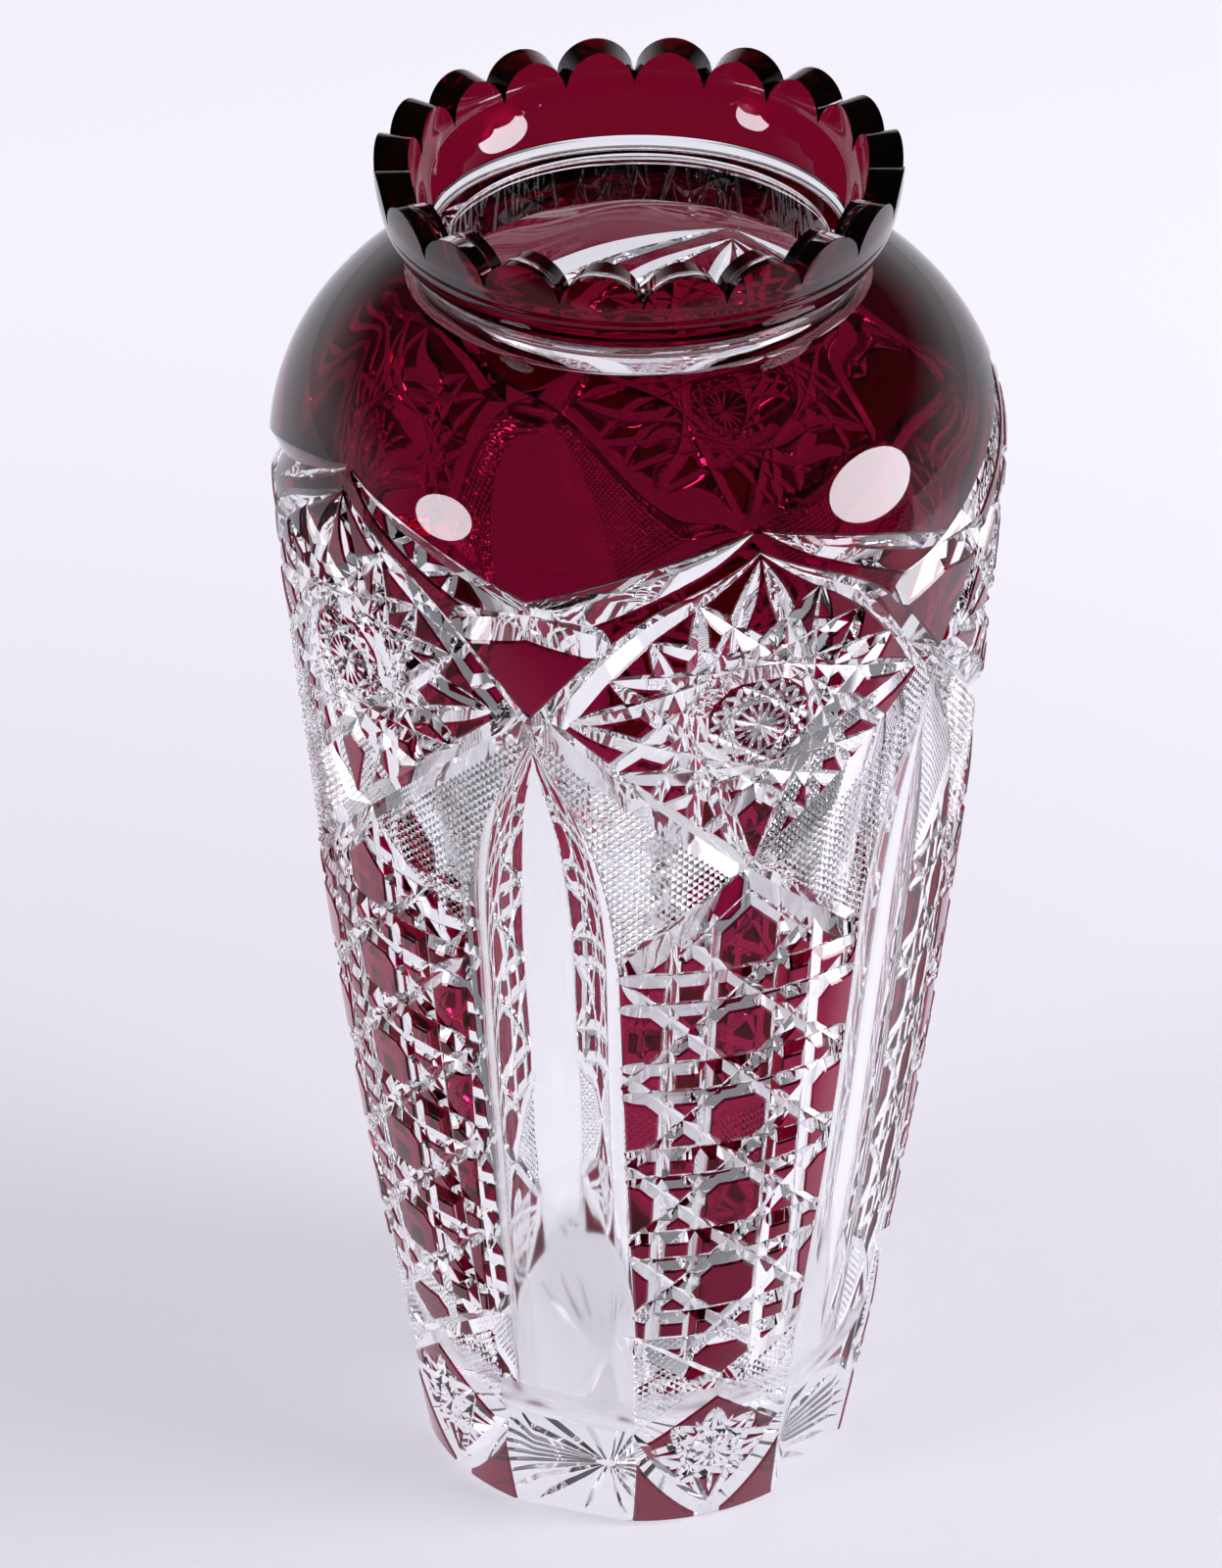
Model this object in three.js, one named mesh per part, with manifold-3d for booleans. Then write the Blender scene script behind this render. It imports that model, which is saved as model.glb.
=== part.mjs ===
// Cased crystal vase: thick clear crystal under a ruby layer, cut through to leave separate ruby pieces.
// Millimetres, +Z up, origin at the centre of the base. Azimuth 0 faces -Y and grows towards +X.
import * as THREE from "three";
import { mergeVertices } from "three/addons/utils/BufferGeometryUtils.js";
import Module from "manifold-3d";

// Outside of the body, over the ruby layer
const baseRadius = 55;
const bellyRadius = 87.5;
const bellyHeight = 285;
const bodyBulge = 4.6; // how far the side bows out from a straight taper
const shoulderReach = 57.5; // the shoulder is part of an ellipse with these half axes
const shoulderRise = 52;
const baseChamfer = 1;

// Clear ring, collar and mouth
const collarRadius = 55;
const ringHeight = 5.5;
const ringDepth = 3;
const neckRadius = 54.2;
const rimRadius = 61.6;
const collarHeight = 22.7; // from the clear ring to the crests of the rim
const collarSweep = 60; // degrees of an ellipse that the flare turns through
const lipThickness = 8;

// Inside
const wallThickness = 10;
const boreRadius = 45;
const floorThickness = 26;
const wellCornerRadius = 14;

// Ruby layer
const casingThickness = 1; // with the gap under it
const seatGap = 0.3;

// Scallops of the rim
const lobeCount = 20;
const notchDepth = 8.5;

// Panels with a flute between each two
const panelCount = 5;
const firstPanelAzimuth = 19.1;
const fluteHalfWidth = 20;
const fluteFootHalfWidth = 16;
const fluteTaperHeight = 70; // the flutes narrow towards the foot below this
const fluteDepth = 4.6;
const fluteWheelRadius = 30;
const sideFluteOffset = 13.2;
const sideFluteDepth = 2.6;
const sideFluteWheelRadius = 10.2;
const archHeight = 66; // the pointed top of a flute
const archDrop = 33; // from the belly down to the point of the arch

// Border of the ruby shoulder, as heights over the belly
const borderPeak = 20.3;
const borderTip = 4.5;
const borderBow = 1.3;

// Ruby kite over each flute
const kiteDrop = 7; // from the belly down to its top corner
const kiteShoulder = 3;
const kiteHeight = 18.5;
const kiteHalfWidth = 12.5;

// Two ruby pieces at the top of each panel's star
const starTopDrop = 3.5;
const starSplit = 0.7;
const starSideWidth = 13;
const starSideDrop = 15;
const starInnerDrop = 8;
const starLowWidth = 6.5;
const starLowDrop = 22;

// Cane pattern: a column of ruby buttons down each panel
const upperCrossDrop = 73.5; // from the belly down to where the two upper cuts cross
const lowerCrossHeight = 48.5; // from the table up to where the two lower cuts cross
const rowCount = 6;
const buttonWidth = 12.6;
const buttonHeight = 12.4;
const buttonCorner = 3.2;
const buttonRise = 7.7; // from a row's line up to its button's centre
const topButtonWidth = 16.2;
const topButtonPeak = 6;

// Straight V cuts around the buttons: two uprights and pairs of level cuts
const uprightOffset = 8.8; // from the middle of a panel
const levelGap = 9; // between the two level cuts of a pair
const caneHalfWidth = 2.3;
const caneDepth = 2;
const levelMargin = 1.5; // from the end of a level cut to the flute

// Ruby corners at the foot of each panel
const footCornerLift = 1.8;
const footCornerHeight = 15.5;
const footCornerReach = 13.5;
const footCornerInset = 0.6;
const footCornerBow = 2.5;

// Long V cuts
const mitreHalfWidth = 4.2;
const mitreDepth = 4;
const archCutDrop = 5; // from the peak of the border down to the top of an arched cut
const archCutShoulder = 38; // how far out an arched cut turns down
const footCrossRise = 17; // what a lower cut gains from the crossing to the side of its panel

// Facets
const turns = 40;
const wellTurns = 28;
const weld = 1e-4;
const archTrim = 1e-4; // share of a flute's height left off the point of its arch
const bodySteps = 6;
const shoulderSteps = 6;
const collarSteps = 4;
const cornerSteps = 3;
const lobeSteps = 3;
const caneSpan = 20; // how far round a straight cut runs between two sections
const clearOf = 5; // how far a cutter runs past what it cuts

const wasm = await Module();
wasm.setup();

// The heights and angles that follow from the sizes above
const sector = (2 * Math.PI) / panelCount;
const shoulderCentre = bellyRadius - shoulderReach;
const ringFoot = bellyHeight + shoulderRise * Math.sin(arcTo(collarRadius, shoulderReach));
const ringTop = ringFoot + ringHeight;
const rimHeight = ringTop + collarHeight;
const archPoint = bellyHeight - archDrop;
const upperCross = bellyHeight - upperCrossDrop;
const rowPitch = (upperCross - lowerCrossHeight) / rowCount;
const peakHeight = bellyHeight + borderPeak;
const tipHeight = bellyHeight + borderTip;

function arcTo(radius, reach) {
  return Math.acos((radius - shoulderCentre) / reach);
}

function panelAzimuth(index) {
  return THREE.MathUtils.degToRad(firstPanelAzimuth) + index * sector;
}

function fluteAzimuth(index) {
  return panelAzimuth(index) - sector / 2;
}

// Radius of the outside at a height, up to the clear ring
function outerRadius(z) {
  if (z > bellyHeight) {
    const t = Math.min((z - bellyHeight) / shoulderRise, 1);
    return shoulderCentre + shoulderReach * Math.sqrt(1 - t * t);
  }
  const t = z / bellyHeight;
  return baseRadius + (bellyRadius - baseRadius) * t + 4 * bodyBulge * t * (1 - t);
}

// Half the width of a flute at a height: narrower at the foot, a pointed arch at the top
function fluteReach(z) {
  const archFoot = archPoint - archHeight;
  if (z > archFoot) {
    const arc = (fluteHalfWidth ** 2 + archHeight ** 2) / (2 * fluteHalfWidth);
    return fluteHalfWidth - arc + Math.sqrt(arc * arc - (z - archFoot) ** 2);
  }
  const toFoot = Math.max(0, 1 - Math.max(z, 0) / fluteTaperHeight);
  return fluteHalfWidth - (fluteHalfWidth - fluteFootHalfWidth) * toFoot ** 2;
}

function panelReach(z) {
  return (outerRadius(z) * sector) / 2 - fluteReach(z);
}

// Profiles, each a list of points going up
function steps(count, point) {
  return Array.from({ length: count + 1 }, (_, i) => point(i / count));
}

function bodySide(inset, low) {
  return steps(bodySteps, (t) => {
    const z = low + (bellyHeight - low) * t;
    return new THREE.Vector2(outerRadius(z) - inset, z);
  });
}

function shoulderSide(inset, endRadius) {
  const end = arcTo(endRadius, shoulderReach);
  const arc = steps(shoulderSteps, (t) => {
    const angle = end * t;
    const radius = shoulderCentre + (shoulderReach - inset) * Math.cos(angle);
    return new THREE.Vector2(radius, bellyHeight + (shoulderRise - inset) * Math.sin(angle));
  });
  return arc.slice(1);
}

function collarSide(foot, top, inset) {
  const sweep = THREE.MathUtils.degToRad(collarSweep);
  const reach = (top - foot) / (1 - Math.cos(sweep));
  const rise = collarHeight / Math.sin(sweep);
  return steps(collarSteps, (t) => {
    const angle = sweep * (1 - t);
    const radius = top - reach * (1 - Math.cos(angle)) - inset;
    return new THREE.Vector2(radius, rimHeight - rise * Math.sin(angle));
  });
}

// A solid of revolution about Z, from points of radius and height
function lathe(points, count = turns) {
  return new THREE.LatheGeometry(points, count).rotateX(Math.PI / 2);
}

function ring(outside, inside) {
  const points = [...outside, ...inside.reverse()];
  return lathe([...points, points[0].clone()]);
}

// Joining and cutting
function solid(geometry) {
  const bare = geometry.index ? geometry.toNonIndexed() : geometry.clone();
  bare.deleteAttribute("normal");
  bare.deleteAttribute("uv");
  const merged = mergeVertices(bare, weld);
  const mesh = new wasm.Mesh({
    numProp: 3,
    vertProperties: merged.getAttribute("position").array,
    triVerts: new Uint32Array(merged.index.array),
  });
  return new wasm.Manifold(mesh);
}

function geometryOf(body) {
  const mesh = body.getMesh();
  const geometry = new THREE.BufferGeometry();
  geometry.setAttribute("position", new THREE.BufferAttribute(mesh.vertProperties, 3));
  geometry.setIndex(new THREE.BufferAttribute(mesh.triVerts, 1));
  geometry.computeVertexNormals();
  return geometry;
}

// Lays a flat piece on the vase: x runs round it, y is height and z stands off the outside
function laidOn(geometry, azimuth) {
  const position = geometry.getAttribute("position");
  for (let i = 0; i < position.count; i += 1) {
    const z = position.getY(i);
    const surface = outerRadius(Math.max(z, 0));
    const angle = azimuth + position.getX(i) / surface;
    const radius = surface + position.getZ(i);
    position.setXYZ(i, radius * Math.sin(angle), -radius * Math.cos(angle), z);
  }
  return geometry;
}

// A prism through the wall with the outline of a shape
function punch(shape, azimuth) {
  const depth = 2 * clearOf;
  const flat = new THREE.ExtrudeGeometry(shape, { depth, bevelEnabled: false, curveSegments: cornerSteps });
  return solid(laidOn(flat.translate(0, 0, -clearOf), azimuth));
}

// A straight bar with a cross-section, bent so that place(x, y, t) gives where each point goes
function bar(section, count, azimuth, place) {
  const geometry = new THREE.ExtrudeGeometry(section, { depth: 1, steps: count, bevelEnabled: false });
  const position = geometry.getAttribute("position");
  for (let i = 0; i < position.count; i += 1) {
    const at = place(position.getX(i), position.getY(i), position.getZ(i));
    position.setXYZ(i, at.x, at.y, at.z);
  }
  return solid(laidOn(geometry, azimuth));
}

function outline(points) {
  return new THREE.Shape(points.map(([x, y]) => new THREE.Vector2(x, y)));
}

function mirrored(points) {
  return points.map(([x, y]) => [-x, y]).reverse();
}

// Depth of a flute across its width: a wide hollow with a narrow one on each side
function hollow(x, wheel, depth) {
  return depth - wheel + Math.sqrt(Math.max(wheel * wheel - x * x, 0));
}

function fluteCutter(index) {
  const across = steps(2 * bodySteps, (t) => {
    const x = fluteHalfWidth * (2 * t - 1);
    const middle = hollow(x, fluteWheelRadius, fluteDepth);
    const side = hollow(Math.abs(x) - sideFluteOffset, sideFluteWheelRadius, sideFluteDepth);
    return [x, -Math.max(middle, side, 0)];
  });
  const section = outline([...across, [fluteHalfWidth, clearOf], [-fluteHalfWidth, clearOf]]);
  const low = -clearOf;
  return bar(section, bodySteps, fluteAzimuth(index), (x, y, t) => {
    const z = low + (archPoint - low) * Math.sin((t * Math.PI) / 2) * (1 - archTrim);
    const scale = fluteReach(z) / fluteHalfWidth;
    return new THREE.Vector3(-x * scale, z, y > 0 ? y : y * scale);
  });
}

// A V cut along a flat curve
function mitreCutter(curve, azimuth) {
  const wide = 1 + clearOf / mitreDepth;
  const section = outline([
    [0, -mitreDepth],
    [mitreHalfWidth * wide, clearOf],
    [-mitreHalfWidth * wide, clearOf],
  ]);
  return bar(section, cornerSteps, azimuth, (x, y, t) => {
    const at = curve.getPoint(t);
    const along = curve.getTangent(t);
    return new THREE.Vector3(at.x - along.y * x, at.y + along.x * x, y);
  });
}

// A straight V cut
function caneCutter(from, to, azimuth) {
  const aside = to.clone().sub(from).normalize().rotateAround(new THREE.Vector2(), Math.PI / 2);
  const wide = caneHalfWidth * (1 + clearOf / caneDepth);
  const section = outline([
    [0, -caneDepth],
    [wide, clearOf],
    [-wide, clearOf],
  ]);
  const count = Math.max(2, Math.ceil(Math.abs(to.x - from.x) / caneSpan));
  return bar(section, count, azimuth, (x, y, t) => {
    const at = from.clone().lerp(to, t).addScaledVector(aside, x);
    return new THREE.Vector3(at.x, at.y, y);
  });
}

// The straight cuts of one panel, each as its two ends
function caneLines() {
  const crossSlope = (archPoint - upperCross) / ((outerRadius(archPoint) * sector) / 2);
  const footSlope = footCrossRise / panelReach(lowerCrossHeight);
  const uprights = [-uprightOffset, uprightOffset].map((x) => [
    new THREE.Vector2(x, lowerCrossHeight + Math.abs(x) * footSlope),
    new THREE.Vector2(x, upperCross - Math.abs(x) * crossSlope),
  ]);
  const pairs = Array.from({ length: rowCount - 1 }, (_, row) => {
    const middle = lowerCrossHeight + buttonRise + (row + 1 / 2) * rowPitch;
    return [middle - levelGap / 2, middle + levelGap / 2];
  });
  const levels = pairs.flat().map((z) => {
    const reach = panelReach(z) - levelMargin;
    return [new THREE.Vector2(-reach, z), new THREE.Vector2(reach, z)];
  });
  return [...uprights, ...levels];
}

// The arched cut and the two crossing cuts that start on one side of a panel
function mitreCurves(side) {
  const archFoot = new THREE.Vector2((side * outerRadius(archPoint) * sector) / 2, archPoint);
  const archTop = new THREE.Vector2(0, peakHeight - archCutDrop);
  const archTurn = new THREE.Vector2(side * archCutShoulder, bellyHeight);
  const upper = new THREE.Vector2(0, upperCross);
  const beyond = panelReach(upperCross - rowPitch) / Math.abs(archFoot.x);
  const crossEnd = upper.clone().addScaledVector(upper.clone().sub(archFoot), beyond);
  const reach = panelReach(lowerCrossHeight);
  const footTop = new THREE.Vector2(side * reach, lowerCrossHeight + footCrossRise);
  const footEnd = new THREE.Vector2(-side * reach, lowerCrossHeight - footCrossRise);
  return [
    new THREE.QuadraticBezierCurve(archTop, archTurn, archFoot),
    new THREE.LineCurve(archFoot, crossEnd),
    new THREE.LineCurve(footTop, footEnd),
  ];
}

// The rim between two crests: two round lobes that meet in a notch
function notchCutter(index) {
  const half = (rimRadius * Math.PI) / lobeCount;
  const lobe = (half * half + notchDepth * notchDepth) / (2 * notchDepth);
  const edge = steps(lobeSteps, (t) => {
    const x = half * (1 - t);
    return [x - half, rimHeight - lobe + Math.sqrt(lobe * lobe - x * x)];
  });
  const top = rimHeight + clearOf;
  const left = edge.reverse();
  const right = mirrored(left).slice(1);
  const shape = outline([...left, ...right, [half, top], [-half, top]]);
  const depth = rimRadius + clearOf - boreRadius;
  const flat = new THREE.ExtrudeGeometry(shape, { depth, bevelEnabled: false });
  const angle = panelAzimuth(0) + (index * 2 * Math.PI) / lobeCount;
  return solid(flat.translate(0, 0, boreRadius).rotateX(Math.PI / 2).rotateZ(angle));
}

// The outside of the clear crystal, from the middle of the base up to the middle of the mouth
function crystalProfile() {
  const foot = new THREE.Vector2(outerRadius(baseChamfer) - casingThickness - baseChamfer, 0);
  return [
    new THREE.Vector2(0, 0),
    foot,
    ...bodySide(casingThickness, baseChamfer),
    ...shoulderSide(casingThickness, collarRadius),
    new THREE.Vector2(collarRadius - ringDepth, ringFoot + ringHeight / 2),
    ...collarSide(neckRadius, rimRadius, casingThickness),
    new THREE.Vector2(0, rimHeight),
  ];
}

// The hollow inside, from its floor up through the mouth
function wellProfile() {
  const cornerTop = floorThickness + wellCornerRadius;
  const wellRadius = outerRadius(cornerTop) - wallThickness;
  const corner = steps(cornerSteps, (t) => {
    const angle = ((1 - t) * Math.PI) / 2;
    const radius = wellRadius - wellCornerRadius * (1 - Math.cos(angle));
    return new THREE.Vector2(radius, cornerTop - wellCornerRadius * Math.sin(angle));
  });
  const innerReach = shoulderReach - wallThickness;
  const boreArc = arcTo(boreRadius, innerReach);
  const shoulder = steps(shoulderSteps, (t) => {
    const angle = boreArc * t;
    const radius = shoulderCentre + innerReach * Math.cos(angle);
    return new THREE.Vector2(radius, bellyHeight + (shoulderRise - wallThickness) * Math.sin(angle));
  });
  return [
    new THREE.Vector2(0, floorThickness),
    ...corner,
    ...bodySide(wallThickness, cornerTop).slice(1, -1),
    ...shoulder,
    ...collarSide(boreRadius, rimRadius - lipThickness, 0),
    new THREE.Vector2(rimRadius - lipThickness, rimHeight + clearOf),
    new THREE.Vector2(0, rimHeight + clearOf),
  ];
}

// The ruby layer before it is cut, over the body and over the collar
function bodyBlank() {
  const under = casingThickness - seatGap;
  const outside = [...bodySide(0, footCornerLift), ...shoulderSide(0, collarRadius)];
  const inside = [...bodySide(under, footCornerLift), ...shoulderSide(under, collarRadius)];
  return solid(ring(outside, inside));
}

function collarBlank() {
  const under = casingThickness - seatGap;
  return solid(ring(collarSide(neckRadius, rimRadius, 0), collarSide(neckRadius, rimRadius, under)));
}

// What lies under the border of the shoulder, from one crest of the border to the next
function borderCutter(index) {
  const half = (bellyRadius * sector) / 2;
  const edge = steps(shoulderSteps, (t) => {
    const rise = (peakHeight - tipHeight) * t + 4 * borderBow * t * (1 - t);
    return [half * t, tipHeight + rise];
  });
  const low = -clearOf;
  const last = half + seatGap;
  const right = [[last, low], [last, peakHeight], ...edge.slice(1).reverse()];
  const shape = outline([...right, [0, tipHeight], ...mirrored(right)]);
  const depth = 2 * bellyRadius;
  const flat = new THREE.ExtrudeGeometry(shape, { depth, bevelEnabled: false });
  const position = flat.getAttribute("position");
  for (let i = 0; i < position.count; i += 1) {
    const angle = fluteAzimuth(index) + position.getX(i) / bellyRadius;
    const radius = boreRadius + position.getZ(i);
    position.setXYZ(i, radius * Math.sin(angle), -radius * Math.cos(angle), position.getY(i));
  }
  return solid(flat);
}

// Outlines of the ruby pieces, on the flat
function kiteShape() {
  const top = bellyHeight - kiteDrop;
  return outline([
    [0, top],
    [-kiteHalfWidth, top - kiteShoulder],
    [0, top - kiteHeight],
    [kiteHalfWidth, top - kiteShoulder],
  ]);
}

function starTopShape(side) {
  const right = [
    [starSplit, peakHeight - starTopDrop],
    [starSplit, peakHeight - starInnerDrop],
    [starLowWidth, peakHeight - starLowDrop],
    [starSideWidth, peakHeight - starSideDrop],
  ];
  return outline(side > 0 ? right : mirrored(right));
}

function buttonShape(row) {
  const middle = lowerCrossHeight + buttonRise + row * rowPitch;
  const half = buttonWidth / 2;
  const tall = buttonHeight / 2;
  if (row === rowCount - 1) {
    const wide = topButtonWidth / 2;
    return outline([
      [-wide, middle - tall],
      [wide, middle - tall],
      [wide, middle + tall / 3],
      [0, middle + tall / 3 + topButtonPeak],
      [-wide, middle + tall / 3],
    ]);
  }
  const upper = [
    [half, middle + tall - buttonCorner],
    [half - buttonCorner, middle + tall],
    [buttonCorner - half, middle + tall],
    [-half, middle + tall - buttonCorner],
  ];
  if (row === 0) {
    const point = middle - tall;
    return outline([...upper, [-half, point + half], [0, point], [half, point + half]]);
  }
  return outline([
    ...upper,
    [-half, middle - tall + buttonCorner],
    [buttonCorner - half, middle - tall],
    [half - buttonCorner, middle - tall],
    [half, middle - tall + buttonCorner],
  ]);
}

function footCornerShape(side) {
  const low = footCornerLift - clearOf;
  const top = footCornerLift + footCornerHeight;
  const foot = panelReach(footCornerLift) - footCornerInset;
  const upper = panelReach(top) - footCornerInset;
  const middle = (foot + upper - footCornerReach) / 2 + footCornerBow;
  const right = [
    [foot - footCornerReach, low],
    [foot, low],
    [foot, footCornerLift],
    [upper, top],
    [middle, footCornerLift + footCornerHeight / 2 - footCornerBow],
    [foot - footCornerReach, footCornerLift],
  ];
  return outline(side > 0 ? right : mirrored(right));
}

// Materials
const clearCrystal = new THREE.MeshStandardMaterial({
  color: 0xe9edf2,
  roughness: 0.04,
  metalness: 0,
  transparent: true,
  opacity: 0.35,
});
const rubyCasing = new THREE.MeshStandardMaterial({
  color: 0x6d0f35,
  roughness: 0.06,
  metalness: 0,
  transparent: true,
  opacity: 0.85,
});

const vase = new THREE.Group();

function add(name, body, material) {
  const mesh = new THREE.Mesh(geometryOf(body), material.clone());
  mesh.name = name;
  vase.add(mesh);
}

// Assembly
const panels = Array.from({ length: panelCount }, (_, i) => i);
const sides = [
  ["left", -1],
  ["right", 1],
];
const everyNotch = Array.from({ length: lobeCount }, (_, i) => notchCutter(i));
const notches = everyNotch.reduce((all, one) => all.add(one));

const well = solid(lathe(wellProfile(), wellTurns));

let crystal = solid(lathe(crystalProfile())).subtract(well).subtract(notches);
for (const index of panels) {
  crystal = crystal.subtract(fluteCutter(index));
  for (const [, side] of sides) {
    for (const curve of mitreCurves(side)) {
      crystal = crystal.subtract(mitreCutter(curve, panelAzimuth(index)));
    }
  }
  for (const [from, to] of caneLines()) {
    crystal = crystal.subtract(caneCutter(from, to, panelAzimuth(index)));
  }
}
add("crystal_body", crystal, clearCrystal);
add("neck_casing", collarBlank().subtract(notches), rubyCasing);

const blank = bodyBlank();
const border = panels.map(borderCutter).reduce((all, one) => all.add(one));
add("shoulder_casing", blank.subtract(border), rubyCasing);

for (const index of panels) {
  const number = index + 1;
  const facing = panelAzimuth(index);
  add(`kite_${number}`, blank.intersect(punch(kiteShape(), fluteAzimuth(index))), rubyCasing);
  for (const [word, side] of sides) {
    add(`star_top_${word}_${number}`, blank.intersect(punch(starTopShape(side), facing)), rubyCasing);
    add(`foot_corner_${word}_${number}`, blank.intersect(punch(footCornerShape(side), facing)), rubyCasing);
  }
  for (let row = 0; row < rowCount; row += 1) {
    add(`button_${number}_${row + 1}`, blank.intersect(punch(buttonShape(row), facing)), rubyCasing);
  }
}

export default vase;
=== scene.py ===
"""Cased crystal vase: clear crystal under a thin ruby layer that the cutter's wheels go through.

The blank is turned, and every cut is a real groove taken out of it. Sizes are in millimetres on the vase and
become metres when a mesh is made. A place on the vase is u, the distance round it from the middle of a panel,
and v, the height. Azimuth 0 faces -Y and grows towards +X.
"""
import math

import bpy
import numpy as np
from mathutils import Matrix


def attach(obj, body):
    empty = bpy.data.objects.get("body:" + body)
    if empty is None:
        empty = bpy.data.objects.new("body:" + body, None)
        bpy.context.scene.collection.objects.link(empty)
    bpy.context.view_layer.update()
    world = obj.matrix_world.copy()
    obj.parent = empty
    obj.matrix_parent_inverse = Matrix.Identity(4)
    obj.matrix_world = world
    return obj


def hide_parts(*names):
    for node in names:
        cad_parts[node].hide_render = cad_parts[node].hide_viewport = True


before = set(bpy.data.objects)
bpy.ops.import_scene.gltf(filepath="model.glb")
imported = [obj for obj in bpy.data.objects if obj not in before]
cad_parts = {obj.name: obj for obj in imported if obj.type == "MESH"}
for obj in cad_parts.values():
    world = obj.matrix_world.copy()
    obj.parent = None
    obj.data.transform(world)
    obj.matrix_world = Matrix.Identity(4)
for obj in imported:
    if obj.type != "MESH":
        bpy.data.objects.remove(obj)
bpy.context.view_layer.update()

MM = 0.001

# Body
BASE_RADIUS = 55.0
BELLY_RADIUS = 87.5
BELLY_HEIGHT = 285.0
BODY_BULGE = 4.6
SHOULDER_REACH = 57.5
SHOULDER_RISE = 52.0
BASE_CHAMFER = 1.8

# Ring, collar and mouth
COLLAR_RADIUS = 55.0
RING_HEIGHT = 5.5
RING_DEPTH = 3.0
NECK_RADIUS = 54.2
RIM_RADIUS = 61.6
COLLAR_HEIGHT = 22.7
COLLAR_SWEEP = math.radians(60)
LIP_THICKNESS = 8.0
LOBES = 20
NOTCH_DEPTH = 8.5

# Fine turned ridges on the collar, fading up and down from one height
COLLAR_RIDGE = 0.22
COLLAR_RIDGE_PITCH = 3.4
COLLAR_RIDGES_AT = 346
COLLAR_RIDGES_REACH = 7

# Inside
WALL = 10.0
BORE_RADIUS = 45.0
FLOOR = 26.0
WELL_CORNER = 14.0

# The inside of the blank is not quite even. Low waves run over it, full only in the shoulder. Each wave has a
# height, a count round the vase, a rise and a start.
WAVES = ((0.3, 13, 9, 0), (0.22, 8, -13, 1))
WAVES_LOW_SHARE = 0.12
WAVES_GROW_FROM, WAVES_GROW_OVER = 262, 24
WAVES_END_AT, WAVES_END_OVER = 330, 10
WAVES_FOOT_OVER = 30

# Ruby layer
CASING = 0.42
CASING_GAP = 0.02

# Panels and flutes
PANELS = 5
SECTOR = 2 * math.pi / PANELS
FIRST_PANEL = math.radians(19.1)
FLUTE_HALF = 20.0
FLUTE_FOOT_HALF = 16.0
FLUTE_TAPER = 70.0
FLUTE_DEPTH = 4.6
FLUTE_SIDE_DEPTH = 2.6
FLUTE_RIDGE = 11.5
FLUTE_RIDGE_DEPTH = 3.7
ARCH_POINT = 252.0
ARCH_HEIGHT = 66.0
LANCET_POINT = 241.0

# The mesh: faces round a turned surface, rows up it, and the angle from which an edge stays sharp
TURNS = 180
BODY_ROWS = 24
SHOULDER_ROWS = 20
COLLAR_ROWS = 22
SHARP = math.radians(22)

# The cutters: the stations along a cut, and how far a cutter stands out of the glass
STATION = 4.0
CLEAR = 0.7
FLUTE_CLEAR = 6.0
SOLE_CLEAR = 0.5
NOTCH_CLEAR = 4.0
NOTCH_INSIDE = 6.0

# Finish numbers of the faces. A cut has the first.
CUT, AIR, SEAM, DULL, SOLE, INSIDE = range(6)

shoulder_centre = BELLY_RADIUS - SHOULDER_REACH
collar_arc = math.acos((COLLAR_RADIUS - shoulder_centre) / SHOULDER_REACH)
ring_foot = BELLY_HEIGHT + SHOULDER_RISE * math.sin(collar_arc)
ring_top = ring_foot + RING_HEIGHT
rim_height = ring_top + COLLAR_HEIGHT


# Profile

def outer_radius(v):
    v = np.clip(np.asarray(v, float), 0, None)
    t = v / BELLY_HEIGHT
    body = BASE_RADIUS + (BELLY_RADIUS - BASE_RADIUS) * t + 4 * BODY_BULGE * t * (1 - t)
    s = np.clip((v - BELLY_HEIGHT) / SHOULDER_RISE, 0, 0.97)
    shoulder = shoulder_centre + SHOULDER_REACH * np.sqrt(1 - s * s)
    return np.where(v > BELLY_HEIGHT, shoulder, body)


def outward(v):
    """The outward normal of the body at a height, as its radial and upright parts."""
    v = np.asarray(v, float)
    step = 0.05
    slope = (outer_radius(v + step) - outer_radius(v - step)) / (2 * step)
    length = np.sqrt(1 + slope * slope)
    return 1 / length, -slope / length


def on_vase(u, v, h, azimuth):
    """Points u round, v up and h out from the surface, as x, y and z."""
    u, v, h = np.broadcast_arrays(np.asarray(u, float), np.asarray(v, float), np.asarray(h, float))
    radius = outer_radius(v)
    across, up = outward(v)
    angle = azimuth + u / radius
    reach = radius + h * across
    return np.stack([reach * np.sin(angle), -reach * np.cos(angle), v + h * up], axis=-1)


def body_side(inset, low, count):
    v = np.linspace(low, BELLY_HEIGHT, count)
    across, up = outward(v)
    return np.stack([outer_radius(v) - inset * across, v - inset * up], axis=-1)


def shoulder_side(inset, end_radius, count):
    end = math.acos((end_radius - shoulder_centre) / SHOULDER_REACH)
    t = np.linspace(0, end, count + 1)[1:]
    radius = shoulder_centre + SHOULDER_REACH * np.cos(t)
    v = BELLY_HEIGHT + SHOULDER_RISE * np.sin(t)
    across, up = np.cos(t) / SHOULDER_REACH, np.sin(t) / SHOULDER_RISE
    length = np.hypot(across, up)
    return np.stack([radius - inset * across / length, v - inset * up / length], axis=-1)


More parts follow.
